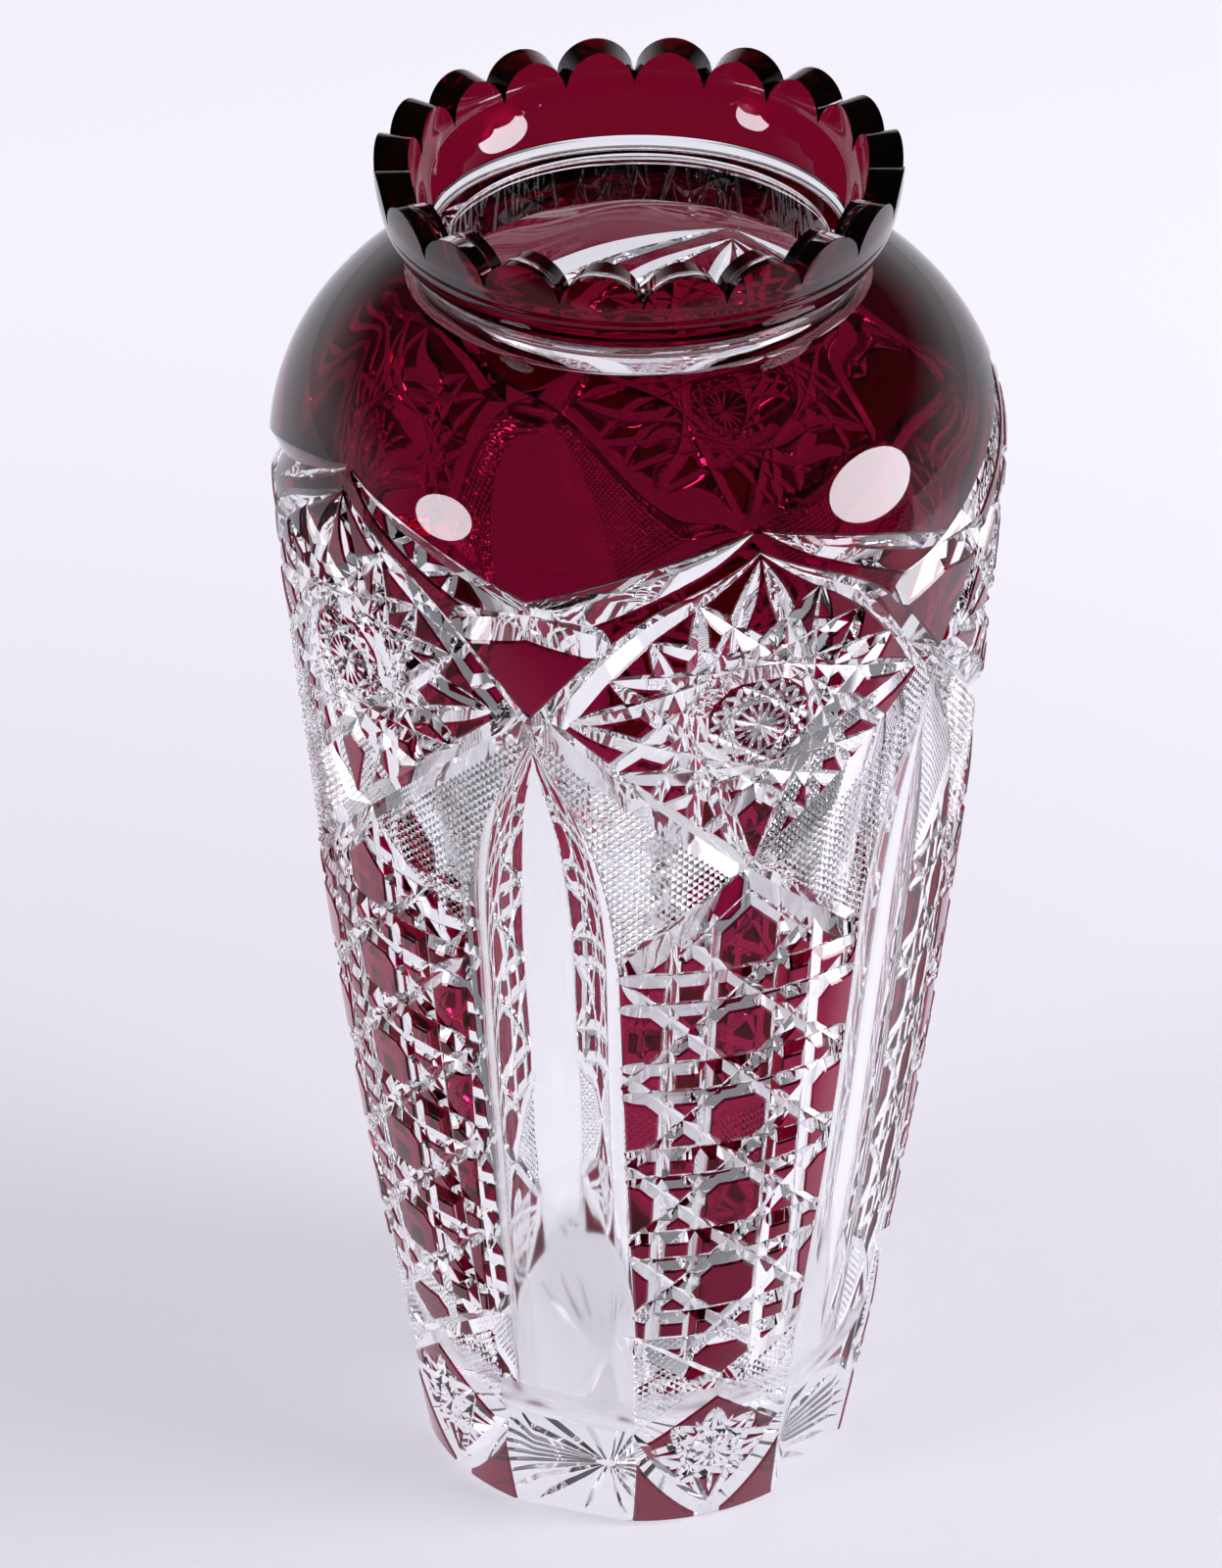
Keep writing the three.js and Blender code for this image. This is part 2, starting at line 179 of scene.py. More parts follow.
def collar_side(foot, top, inset, count, ridge=0.0):
    t = np.linspace(0, 1, count)
    angle = COLLAR_SWEEP * (1 - t)
    reach = (top - foot) / (1 - math.cos(COLLAR_SWEEP))
    rise = COLLAR_HEIGHT / math.sin(COLLAR_SWEEP)
    v = rim_height - rise * np.sin(angle)
    near = np.clip(1 - np.abs(v - COLLAR_RIDGES_AT) / COLLAR_RIDGES_REACH, 0, 1)
    ridges = ridge * np.sin((v - ring_top) * 2 * math.pi / COLLAR_RIDGE_PITCH) * near
    return np.stack([top - reach * (1 - np.cos(angle)) - inset + ridges, v], axis=-1)


def body_line(inset):
    """Up the body and the shoulder, some way under the surface."""
    side = body_side(inset, BASE_CHAMFER, BODY_ROWS)
    return np.concatenate([side, shoulder_side(inset, COLLAR_RADIUS, SHOULDER_ROWS)])


def collar_line(inset):
    """Up the outside of the collar, some way under the surface."""
    return collar_side(NECK_RADIUS, RIM_RADIUS, inset, COLLAR_ROWS, COLLAR_RIDGE)


def crystal_profile():
    """Up the outside, over the lip and down the inside to the axis, with the finish of each stretch."""
    inset = CASING + CASING_GAP
    foot = body_side(inset, BASE_CHAMFER, BODY_ROWS)
    sole = foot[0, 0] - BASE_CHAMFER
    t = np.linspace(0, 1, 9)[1:-1]
    hollow = np.stack([
        COLLAR_RADIUS - RING_DEPTH * np.sin(math.pi * t) ** 0.8,
        ring_foot + RING_HEIGHT * t,
    ], axis=-1)
    collar = collar_line(inset)
    mouth = collar_side(BORE_RADIUS, RIM_RADIUS - LIP_THICKNESS, 0, 16)[::-1]
    reach, rise = SHOULDER_REACH - WALL, SHOULDER_RISE - WALL
    arc = np.linspace(math.acos((BORE_RADIUS - shoulder_centre) / reach), 0, 18)
    dome = np.stack([shoulder_centre + reach * np.cos(arc), BELLY_HEIGHT + rise * np.sin(arc)], axis=-1)
    low = FLOOR + WELL_CORNER
    v = np.linspace(BELLY_HEIGHT, low, 27)[1:]
    side = np.stack([outer_radius(v) - WALL, v], axis=-1)
    turn = np.linspace(0, math.pi / 2, 10)[1:]
    corner = np.stack([
        side[-1, 0] - WELL_CORNER * (1 - np.cos(turn)),
        low - WELL_CORNER * np.sin(turn),
    ], axis=-1)
    stretches = [
        (SOLE, [[0, 0], [sole, 0]]), (AIR, foot[:1]), (SEAM, foot[1:]),
        (SEAM, shoulder_side(inset, COLLAR_RADIUS, SHOULDER_ROWS)), (AIR, hollow),
        (AIR, collar[:1]), (SEAM, collar[1:]), (AIR, mouth),
        (INSIDE, dome), (INSIDE, side), (DULL, corner), (DULL, [[0, FLOOR]]),
    ]
    points = np.concatenate([p for _, p in stretches])
    finish = [kind for kind, p in stretches for _ in p][1:]
    return points, finish


def blown(points):
    """A ring of the inside with the low waves of the blank."""
    angle = np.arctan2(points[:, 0], -points[:, 1])
    v = points[:, 2]
    share = WAVES_LOW_SHARE + (1 - WAVES_LOW_SHARE) * np.clip((v - WAVES_GROW_FROM) / WAVES_GROW_OVER, 0, 1)
    share *= np.clip((v - FLOOR - WELL_CORNER) / WAVES_FOOT_OVER, 0, 1)
    share *= np.clip((WAVES_END_AT - v) / WAVES_END_OVER, 0, 1)
    wave = sum(height * np.sin(count * angle + v / rise + start) for height, count, rise, start in WAVES)
    reach = np.maximum(np.hypot(points[:, 0], points[:, 1]), 1e-6)
    grown = 1 + wave * share / reach
    return np.stack([points[:, 0] * grown, points[:, 1] * grown, v], axis=-1)


def shell_profile(outer, inner):
    """A thin closed ring between two lines, whose inner side is fused to what is under it."""
    points = np.concatenate([outer, inner[::-1], outer[:1]])
    return points, [AIR] * len(outer) + [SEAM] * (len(inner) - 1) + [AIR]


# Solids as lists of corners and faces

class Solid:
    def __init__(self):
        self.points, self.faces, self.count = [], [], 0

    def add(self, points, faces):
        self.points.append(np.asarray(points, float).reshape(-1, 3))
        self.faces += [[i + self.count for i in face] for face in faces]
        self.count += len(self.points[-1])

    def tube(self, sections):
        """Joins closed sections, each with the same number of corners, and closes both ends."""
        sections = np.asarray(sections, float)
        rings, corners = sections.shape[:2]
        faces = [list(range(corners))[::-1], [(rings - 1) * corners + i for i in range(corners)]]
        for r in range(rings - 1):
            for i in range(corners):
                a, b = r * corners + i, r * corners + (i + 1) % corners
                faces.append([a, b, b + corners, a + corners])
        middle = sections.reshape(-1, 3).mean(axis=0)
        flat = sections.reshape(-1, 3) - middle
        volume = 0.0
        for face in faces:
            for j in range(1, len(face) - 1):
                volume += np.dot(flat[face[0]], np.cross(flat[face[j]], flat[face[j + 1]]))
        if volume < 0:
            faces = [face[::-1] for face in faces]
        self.add(sections, faces)

    def mesh(self, name):
        made = bpy.data.meshes.new(name)
        made.from_pydata((np.concatenate(self.points) * MM).tolist(), [], self.faces)
        made.update()
        return made

    def object(self, name):
        made = bpy.data.objects.new(name, self.mesh(name))
        bpy.context.scene.collection.objects.link(made)
        return made


def turned(profile, finish, name):
    """A turned solid. Its profile runs from axis to axis, or is closed, and has a finish for each stretch."""
    closed = np.allclose(profile[0], profile[-1])
    angle = np.arange(TURNS) * 2 * math.pi / TURNS
    starts, rings, total = [], [], 0
    for radius, v in profile[:-1] if closed else profile:
        starts.append(total)
        turns = angle if radius > 1e-9 else angle[:1]
        level = np.full(len(turns), v)
        rings.append(np.stack([radius * np.sin(turns), -radius * np.cos(turns), level], axis=-1))
        total += len(turns)
    if closed:
        starts.append(0)
        rings.append(rings[0])
    faces, kinds = [], []
    for i, kind in enumerate(finish):
        for k in range(TURNS):
            n = (k + 1) % TURNS
            low = [starts[i] + k, starts[i] + n] if len(rings[i]) > 1 else [starts[i]]
            high = [starts[i + 1] + n, starts[i + 1] + k] if len(rings[i + 1]) > 1 else [starts[i + 1]]
            faces.append(low + high)
            kinds.append(kind)
    inside = [i for i, kind in enumerate(finish) if kind == INSIDE]
    for i in inside[1:]:
        rings[i] = blown(rings[i])
    solid = Solid()
    solid.add(np.concatenate(rings[:-1] if closed else rings), faces)
    made = solid.object(name)
    made.data.polygons.foreach_set("material_index", kinds)
    return made


# Cuts

class Cut:
    """A groove laid on the vase: sections along a path, with sample points that say what it may touch."""

    def __init__(self, sections, samples, reach):
        self.sections, self.samples, self.reach = sections, samples, reach


def along(points, step=STATION):
    """A path through some points, with a station at least every step."""
    points = np.asarray(points, float)
    out = [points[:1]]
    for a, b in zip(points[:-1], points[1:]):
        count = max(1, math.ceil(np.linalg.norm(b - a) / step))
        t = np.linspace(0, 1, count + 1)[1:, None]
        out.append(a + (b - a) * t)
    return np.concatenate(out)


def curve(points, count=16):
    """A smooth path through some points (Catmull-Rom)."""
    p = np.asarray(points, float)
    p = np.concatenate([[2 * p[0] - p[1]], p, [2 * p[-1] - p[-2]]])
    spans = len(p) - 3
    out = []
    for t in np.linspace(0, spans, count + 1):
        i = min(int(t), spans - 1)
        f = t - i
        a, b, c, d = p[i:i + 4]
        out.append(0.5 * (2 * b + (c - a) * f + (2 * a - 5 * b + 4 * c - d) * f ** 2
                          + (3 * b - a - 3 * c + d) * f ** 3))
    return np.array(out)


def groove(path, half, depth, ends=(0.0, 0.0), widths=None, level=0.0):
    """A V groove. The wheel leaves the glass over the lengths in ends, and the sides of the groove have their
    full width at a level under the surface."""
    path = np.asarray(path, float)
    step = np.linalg.norm(np.diff(path, axis=0), axis=1)
    place = np.concatenate([[0], np.cumsum(step)])
    total = place[-1]
    for end, flip in ((ends[0], False), (ends[1], True)):
        if end > 0:
            extra = end * np.array([0.03, 0.12, 0.3, 0.6])
            extra = total - extra if flip else extra
            extra = extra[(extra > 0) & (extra < total)]
            at = np.unique(np.concatenate([place, extra]))
            path = np.stack([np.interp(at, place, path[:, i]) for i in (0, 1)], axis=-1)
            place = at
    share = np.ones(len(place))
    if ends[0] > 0:
        share = np.minimum(share, 1 - np.clip(1 - place / ends[0], 0, 1) ** 2)
    if ends[1] > 0:
        share = np.minimum(share, 1 - np.clip(1 - (total - place) / ends[1], 0, 1) ** 2)
    if widths is not None:
        share = share * np.interp(place / total, np.linspace(0, 1, len(widths)), widths)
    share = np.maximum(share, 1e-3)
    tangent = np.gradient(path, axis=0)
    tangent /= np.linalg.norm(tangent, axis=1)[:, None]
    side = np.stack([-tangent[:, 1], tangent[:, 0]], axis=-1)
    top = CLEAR
    wide = half * (share + (top + level) / depth)
    u = np.stack([path[:, 0], path[:, 0] + side[:, 0] * wide, path[:, 0] - side[:, 0] * wide], axis=1)
    v = np.stack([path[:, 1], path[:, 1] + side[:, 1] * wide, path[:, 1] - side[:, 1] * wide], axis=1)
    h = np.stack([-level - depth * share, np.full(len(path), top), np.full(len(path), top)], axis=1)
    return Cut((u, v, h), path, wide.max())


def mirror(cut):
    u, v, h = cut.sections
    return Cut((-u, v, h), cut.samples * [-1, 1], cut.reach)


def both(cut):
    return [cut, mirror(cut)]


def panel_reach(v):
    """Half the width of a panel between its flutes."""
    v = np.asarray(v, float)
    return outer_radius(v) * SECTOR / 2 - flute_half(v)


def flute_half(v, wide=FLUTE_HALF, point=ARCH_POINT):
    foot = ARCH_POINT - ARCH_HEIGHT
    rise = point - foot
    arc = (wide ** 2 + rise ** 2) / (2 * wide)
    arch = wide - arc + np.sqrt(np.maximum(arc * arc - np.clip(v - foot, 0, rise) ** 2, 0))
    to_foot = np.clip(1 - np.maximum(v, 0) / FLUTE_TAPER, 0, 1)
    low = wide * (1 - (1 - FLUTE_FOOT_HALF / FLUTE_HALF) * to_foot ** 2)
    return np.where(v > foot, arch, low)


# What is cut in each panel

CANE_PITCH = 27.2
CANE_MIDDLE = 151.4
CANE_UPRIGHTS = (8.8, 18.1)
CANE_V_HALF, CANE_V_DEPTH = 2.2, 1.9
CANE_LEVELS = (-4.5, 4.5)
CANE_H_HALF, CANE_H_DEPTH = 2.8, 2.1
CANE_D_HALF, CANE_D_DEPTH = 2.4, 2.0
UPPER_CROSS = 211.5
LOWER_CROSS = 48.5
MITRE_SLOPE = 0.84
MITRE_HALF, MITRE_DEPTH = 4.7, 3.9
LOW_MITRE_SLOPE, LOW_MITRE_BEND = 0.79, 0.0035
LOW_MITRE_HALF, LOW_MITRE_DEPTH = 3.6, 2.9
BAND_HALF, ARCH_HALF, BAND_DEPTH = 5.2, 4.4, 3.4

# The fields of diamond points. Their cuts have their full width a little under the ruby layer, and a field
# runs a little way into the flute beside it.
DIAMOND = 1.66
DIAMOND_DEPTH = 0.8
DIAMOND_SUNK = 0.25
FIELD_OVER = 1.2
FOOT_FIELD_SLOPE = 0.75


def mitre_line(u):
    """Height of the bottom of the upper crossing cuts."""
    return UPPER_CROSS + MITRE_SLOPE * u


def low_mitre(u):
    """Height of the bottom of the lower crossing cuts, a little bent."""
    u = np.asarray(u, float)
    return LOWER_CROSS + LOW_MITRE_SLOPE * u - LOW_MITRE_BEND * u * u


def long_cuts():
    """The border bands, the arches and the two pairs of crossing cuts."""
    half_flute = outer_radius(ARCH_POINT) * SECTOR / 2
    band = curve([(-1, 304.6), (-10, 300.6), (-22, 296.2), (-32, 292.4), (-43, 288), (-52.5, 284.3),
                  (-60, 282.2), (-67, 280.7), (-75, 279)], 24)
    arch = curve([(0.5, 300.5), (-5, 296.8), (-12, 292.6), (-22, 286.9), (-30, 280.4), (-38, 271.6),
                  (-46, 260.6), (-half_flute, ARCH_POINT - 1.5)], 24)
    upper = along([(-half_flute, mitre_line(half_flute)), (31.5, mitre_line(-31.5))])
    low_u = np.linspace(-27, 22, 13)
    lower = np.stack([low_u, low_mitre(-low_u)], axis=-1)
    cuts = both(groove(band, BAND_HALF, BAND_DEPTH, (0, 5), (0.12, 0.5, 0.72, 0.9, 1, 1, 1)))
    cuts += both(groove(arch, ARCH_HALF, BAND_DEPTH, (0, 0), (0.12, 0.45, 0.7, 0.85, 1, 1)))
    cuts += both(groove(upper, MITRE_HALF, MITRE_DEPTH, (0, 5)))
    cuts += both(groove(lower, LOW_MITRE_HALF, LOW_MITRE_DEPTH, (4, 3)))
    return cuts


def cane_cuts():
    """The cane: uprights, pairs of level cuts, and slanting cuts that leave eight-sided buttons."""
    cuts = []
    for u in CANE_UPRIGHTS:
        ends = [(u, float(low_mitre(u)) + 1), (u, mitre_line(-u) + 1)]
        cuts += both(groove(along(ends), CANE_V_HALF, CANE_V_DEPTH, (3, 3)))
    for row in range(-3, 2):
        centre = CANE_MIDDLE + row * CANE_PITCH
        for v in (centre + level for level in CANE_LEVELS):
            reach = float(panel_reach(v)) + 3.2
            cuts.append(groove(along([(-reach, v), (reach, v)]), CANE_H_HALF, CANE_H_DEPTH, (8, 8)))
    for row in range(-3, 3):
        centre = CANE_MIDDLE + row * CANE_PITCH
        if row == 2:
            path = [(2, centre + 2), (-17.5, centre - 17.5)]
            ends = (3, 3)
        else:
            path = [(p, centre + p) for p in (-31, 31)]
            ends = (8, 8)
        cuts += both(groove(along(clipped(path)), CANE_D_HALF, CANE_D_DEPTH, ends))
    return cuts


def clipped(path):
    """The stretch of a straight cane line between the crossing cuts and the flutes."""
    a, b = (np.asarray(p, float) for p in path)
    t = np.linspace(0, 1, 400)
    line = a + (b - a) * t[:, None]
    u, v = line[:, 0], line[:, 1]
    inside = (np.abs(u) < panel_reach(v) + 3) & (v < mitre_line(-np.abs(u)) + 1.5)
    inside &= v > low_mitre(np.abs(u)) - 1.5
    kept = line[inside]
    return [kept[0], kept[-1]]


def inside_polygon(points, polygon):
    points, polygon = np.asarray(points), np.asarray(polygon, float)
    hit = np.zeros(len(points), bool)
    for (x0, y0), (x1, y1) in zip(polygon, np.roll(polygon, -1, axis=0)):
        crosses = (points[:, 1] < y0) != (points[:, 1] < y1)
        with np.errstate(divide="ignore", invalid="ignore"):
            at = x0 + (points[:, 1] - y0) * (x1 - x0) / (y1 - y0)
        hit ^= crosses & (points[:, 0] < at)
    return hit


def comb(polygon, direction):
    """Close parallel grooves over a polygon, ridge to ridge under the ruby layer."""
    polygon = np.asarray(polygon, float)
    d = np.asarray(direction, float)
    d /= np.linalg.norm(d)
    n = np.array([-d[1], d[0]])
    offsets = polygon @ n
    spans = polygon @ d
    cuts = []
    t = np.arange(spans.min(), spans.max(), 0.1)
    for s in np.arange(math.ceil(offsets.min() / DIAMOND), offsets.max() / DIAMOND) * DIAMOND:
        line = t[:, None] * d + s * n
        kept = line[inside_polygon(line, polygon)]
        if len(kept) > 15:
            path = along([kept[0], kept[-1]], 8)
            cuts.append(groove(path, DIAMOND / 2, DIAMOND_DEPTH, level=CASING + DIAMOND_SUNK))
    return cuts


def field_edge(v):
    """How far from the middle of its panel a field of diamond points reaches at a height."""
    return float(panel_reach(v)) + FIELD_OVER


def diamond_fields():
    """The four fields of fine diamond points beside the crossings."""
    reach = [(field_edge(v), v) for v in (191, 198, 206, 215, 225, 234, 241, 246, 249.5)]
    upper = [(6, mitre_line(6)), *[(u, v) for u, v in reach if mitre_line(-u) < v < mitre_line(u)]]
    right = [(5.5, UPPER_CROSS)] + sorted(upper[1:], key=lambda p: p[1])
    top_u = right[-1][0] + 1.5
    right.append((top_u, mitre_line(top_u)))
    low_u = right[1][0] - 1
    right.insert(1, (low_u, mitre_line(-low_u)))
    foot = [(4, LOWER_CROSS), (field_edge(33) - 1, 33)] + [(field_edge(w), w) for w in (40, 47, 54, 61)]
    cuts = []
    for polygon, slope in ((right, MITRE_SLOPE), (foot, FOOT_FIELD_SLOPE)):
        for sign in (1, -1):
            cuts += [both(c) for c in comb(polygon, (1, sign * slope))]
    return cuts


# The big star. Its cuts run past their tips, by a length for the top, the upper and the lower tips. The lower
# tips on one side are given by u alone, because they lie on the crossing cuts.
STAR_TOP = 299.5
STAR_HALF, STAR_DEPTH = 3.1, 2.3
STAR_WIDTHS = (0.6, 0.85, 1, 1, 1, 0.85, 0.6)
STAR_TOP_RUN, STAR_RUN, STAR_LOW_RUN = 1.0, 3.5, 0.0
STAR_UPPER = ((15, 289.5), (26, 280), (35, 269.5), (44.5, 257))
STAR_LOWER = (37.0, 25.3, 14.6)


def star_points():
    """The tips of the big star, clockwise from its top."""
    right = [*STAR_UPPER, *((u, mitre_line(u)) for u in STAR_LOWER)]
    left = [(-u, v) for u, v in reversed(right)]
    return [(0, STAR_TOP)] + right + [(0, mitre_line(0))] + left


def star_cuts():
    """Sixteen points, each joined to the sixth from it. The upper points run into the arches."""
    tips = [np.array(p, float) for p in star_points()]
    cuts = []
    for i, a in enumerate(tips):
        j = (i + 6) % len(tips)
        b = tips[j]
        d = (b - a) / np.linalg.norm(b - a)
        past = [STAR_TOP_RUN if k == 0 else STAR_LOW_RUN if 4 < k < 12 else STAR_RUN for k in (i, j)]
        ends = [4 if 4 < k < 12 else 12 for k in (i, j)]
        path = along([a - d * past[0], b + d * past[1]])
        cuts.append(groove(path, STAR_HALF, STAR_DEPTH, ends, STAR_WIDTHS))
    return cuts


# The small star in its middle. A line, a ray and a facet have a half width and a depth.
SMALL_STAR = (0.3, 254.5)
SMALL_STAR_POINTS = 16
SMALL_STAR_RADIUS = 12.8
SMALL_STAR_RAY_RADIUS = 7.8
SMALL_STAR_RING = 15.6
SMALL_STAR_LINE = (1.25, 1.15)
SMALL_STAR_RAY = (1.0, 0.95)
SMALL_STAR_FACET = (3.0, 1.7)


def ring_points(centre, radius, count, turn=0.0):
    angle = 2 * math.pi * (np.arange(count) + turn) / count
    return np.stack([centre[0] + radius * np.sin(angle), centre[1] + radius * np.cos(angle)], axis=-1)


def small_star_cuts():
    """A small star left in ruby, with a clear ring of facets around it."""
    count = SMALL_STAR_POINTS
    tips = ring_points(SMALL_STAR, SMALL_STAR_RADIUS, count)
    lines = [along([tips[i], tips[(i + 5) % count]]) for i in range(count)]
    rays = ring_points(SMALL_STAR, SMALL_STAR_RAY_RADIUS, count)
    across = [along([rays[i], rays[i + count // 2]]) for i in range(count // 2)]
    cuts = [groove(path, *SMALL_STAR_LINE, (1.5, 1.5)) for path in lines]
    cuts += [groove(path, *SMALL_STAR_RAY, (2, 2)) for path in across]
    ring = ring_points(SMALL_STAR, SMALL_STAR_RING / math.cos(math.pi / count), count, 0.5)
    for i in range(count):
        a, b = ring[i], ring[(i + 1) % count]
        over = (b - a) * 0.3
        cuts.append(groove(along([a - over, b + over]), *SMALL_STAR_FACET, (3, 3)))
    return cuts


# The star at the foot of a panel. Its rays are long and short by turns. A line, a ray and a band have a half
# width and a depth.
FOOT_STAR = (0, 24.5)
FOOT_STAR_SIZE = np.array([18.0, 17.5])
FOOT_RAY_REACH = (0.92, 0.8)
FOOT_LINE = (1.7, 1.3)
FOOT_RAY = (1.2, 1.0)
FOOT_BAND = (3.4, 2.2)


def foot_cuts():
    """The star at the foot of a panel and the clear bands beside it."""
    band = curve([(-20.5, 30.5), (-17.6, 25), (-12.6, 17.2), (-7, 10.4), (-2, 5.6), (3.5, 1.5)], 14)
    cuts = both(groove(band, *FOOT_BAND, (3, 3)))
    side = [(11.5, 35.5), (18.6, 25.3), (9.6, 14)]
    tips = [(0, 41), *side, (0, 3.5), *((-u, v) for u, v in reversed(side))]
    for i, a in enumerate(tips):
        cuts.append(groove(along([a, tips[(i + 3) % 8]]), *FOOT_LINE, (5, 5)))
    centre = np.array(FOOT_STAR)
    for i in range(8):
        angle = math.pi * i / 8
        reach = FOOT_STAR_SIZE * np.array([math.sin(angle), math.cos(angle)]) * FOOT_RAY_REACH[i % 2]
        cuts.append(groove(along([centre - reach, centre + reach]), *FOOT_RAY, (5, 5)))
    return cuts


# Grouping and cutting

CUT_GAP = 0.3
SAMPLE_STEP = 1.5


def sample_points(cut):
    path = along(cut.samples, SAMPLE_STEP)
    return on_vase(path[:, 0], path[:, 1], 0, 0.0)


def turned_by(points, angle):
    c, s = math.cos(angle), math.sin(angle)
    return points @ np.array([[c, s, 0], [-s, c, 0], [0, 0, 1]])


def apart(a, b, gap):
    """Whether no point of a lies within the gap of a point of b. Their boxes are looked at first."""
    low, high = b.min(axis=0) - gap, b.max(axis=0) + gap
    if (a.min(axis=0) > high).any() or (a.max(axis=0) < low).any():
        return True
    d = a[:, None, :] - b[None, :, :]
    return (d * d).sum(axis=-1).min() > gap * gap


def touching(one, other):
    """Whether two cuts, each with its sample points, touch in their own panel or the next."""
    gap = one[0].reach + other[0].reach + CUT_GAP
    return not all(apart(one[1], turned_by(other[1], turn * SECTOR), gap) for turn in (0, 1, -1))


def grouped(cuts):
    """Sorts cuts into groups in which no two touch. A list of cuts stays together."""
    groups = []
    for item in cuts:
        members = [(cut, sample_points(cut)) for cut in (item if isinstance(item, list) else [item])]
        for group in groups:
            if not any(touching(member, other) for other in group for member in members):
                group += members
                break
        else:
            groups.append(members)
    return [[cut for cut, _ in group] for group in groups]


def cutter_of(group, name):
    solid = Solid()
    for panel in range(PANELS):
        azimuth = FIRST_PANEL + panel * SECTOR
        for cut in group:
            u, v, h = cut.sections
            solid.tube(on_vase(u, v, h, azimuth))
    return solid.object(name)


def flute_cutter():
    """A wide hollow with a narrow one on each side, under a pointed arch."""
    low, high = -6.0, ARCH_POINT
    t = np.linspace(0, 1, 44)
    heights = low + (high - low) * np.sin(t * math.pi / 2) * (1 - 2e-4)
    middle = np.linspace(-1, 1, 15)
    edge = np.linspace(0, 1, 9)[1:]
    sections = []
    for v in heights:
        outer = float(flute_half(v))
        inner = float(flute_half(v, FLUTE_RIDGE, LANCET_POINT)) if v < LANCET_POINT - 0.5 else 0.02
        inner = min(inner, outer * 0.6)
        scale = math.sqrt(outer / FLUTE_HALF)
        ridge = FLUTE_RIDGE_DEPTH * scale
        deep = (FLUTE_DEPTH - FLUTE_RIDGE_DEPTH) * inner / FLUTE_RIDGE
        bump = (FLUTE_SIDE_DEPTH - FLUTE_RIDGE_DEPTH / 2) * scale
        across = [(inner * x, -ridge - deep * (1 - x * x)) for x in middle]
        side = [(inner + (outer - inner) * x, -ridge * (1 - x) - 4 * bump * x * (1 - x)) for x in edge]
        top = [(outer, FLUTE_CLEAR), (-outer, FLUTE_CLEAR)]
        line = [(-x, h) for x, h in reversed(side)] + across + side + top
        sections.append([(x, v, h) for x, h in line])
    sections = np.array(sections)
    solid = Solid()
    for panel in range(PANELS):
        azimuth = FIRST_PANEL + (panel + 0.5) * SECTOR
        radius = outer_radius(sections[..., 1])
        angle = azimuth + sections[..., 0] / radius
        reach = radius + sections[..., 2]
        place = np.stack([reach * np.sin(angle), -reach * np.cos(angle), sections[..., 1]], axis=-1)
        solid.tube(place)
    return solid.object("cut_flutes")


def notch_cutters():
    """What is cut away between the round lobes of the rim, in two sets whose members don't touch."""
    half = RIM_RADIUS * math.pi / LOBES
    lobe = (half * half + NOTCH_DEPTH * NOTCH_DEPTH) / (2 * NOTCH_DEPTH)
    x = np.linspace(half, 0, 12)
    edge = [(a - half, rim_height - lobe + math.sqrt(lobe * lobe - a * a)) for a in x]
    left = edge[::-1]
    right = [(-a, b) for a, b in reversed(left)][1:]
    top = rim_height + NOTCH_CLEAR
    outline = np.array(left + right + [(half * 0.999, top), (-half * 0.999, top)])
    even, odd = Solid(), Solid()
    for i in range(LOBES):
        angle = FIRST_PANEL + i * 2 * math.pi / LOBES
        sections = []
        for reach in (BORE_RADIUS - NOTCH_INSIDE, RIM_RADIUS + NOTCH_CLEAR):
            x, z = outline[:, 0], outline[:, 1]
            sections.append(np.stack([
                reach * math.sin(angle) + x * math.cos(angle),
                -reach * math.cos(angle) + x * math.sin(angle),
                z,
            ], axis=-1))
        (odd if i % 2 else even).tube(sections)
    return [even.object("cut_notches_even"), odd.object("cut_notches_odd")]


# The star under the foot. A ray has a depth at some distances from the axis, and widens with its depth.
SOLE_RAYS = 24
SOLE_RAY = ((3, 0.4), (16, 1.2), (30, 1.6), (40, 1.4), (47.5, 0.02))
SOLE_RAY_SLOPE, SOLE_RAY_EDGE = 0.8, 0.3


def base_cutters():
    """The star cut into the underside, in three sets whose members don't touch."""
    groups = [Solid(), Solid(), Solid()]
    for i in range(SOLE_RAYS):
        angle = 2 * math.pi * i / SOLE_RAYS
        along_ray = np.array([math.sin(angle), -math.cos(angle), 0])
        side = np.array([math.cos(angle), math.sin(angle), 0])
        sections = []
        for reach, depth in SOLE_RAY:
            half = depth * SOLE_RAY_SLOPE + SOLE_RAY_EDGE
            low = np.array([0, 0, -SOLE_CLEAR])
            sections.append([
                along_ray * reach + [0, 0, depth],
                along_ray * reach + side * half + low,
                along_ray * reach - side * half + low,
            ])
        groups[i % 3].tube(sections)
    return [g.object(f"cut_base_{i}") for i, g in enumerate(groups)]


def cut_away(obj, cutters):
    for cutter in cutters:
        step = obj.modifiers.new(cutter.name, "BOOLEAN")
        step.operation = "DIFFERENCE"
        step.solver = "MANIFOLD"
        step.object = cutter
    graph = bpy.context.evaluated_depsgraph_get()
    made = bpy.data.meshes.new_from_object(obj.evaluated_get(graph))
    obj.modifiers.clear()
    obj.data = made
    return obj


# Pieces

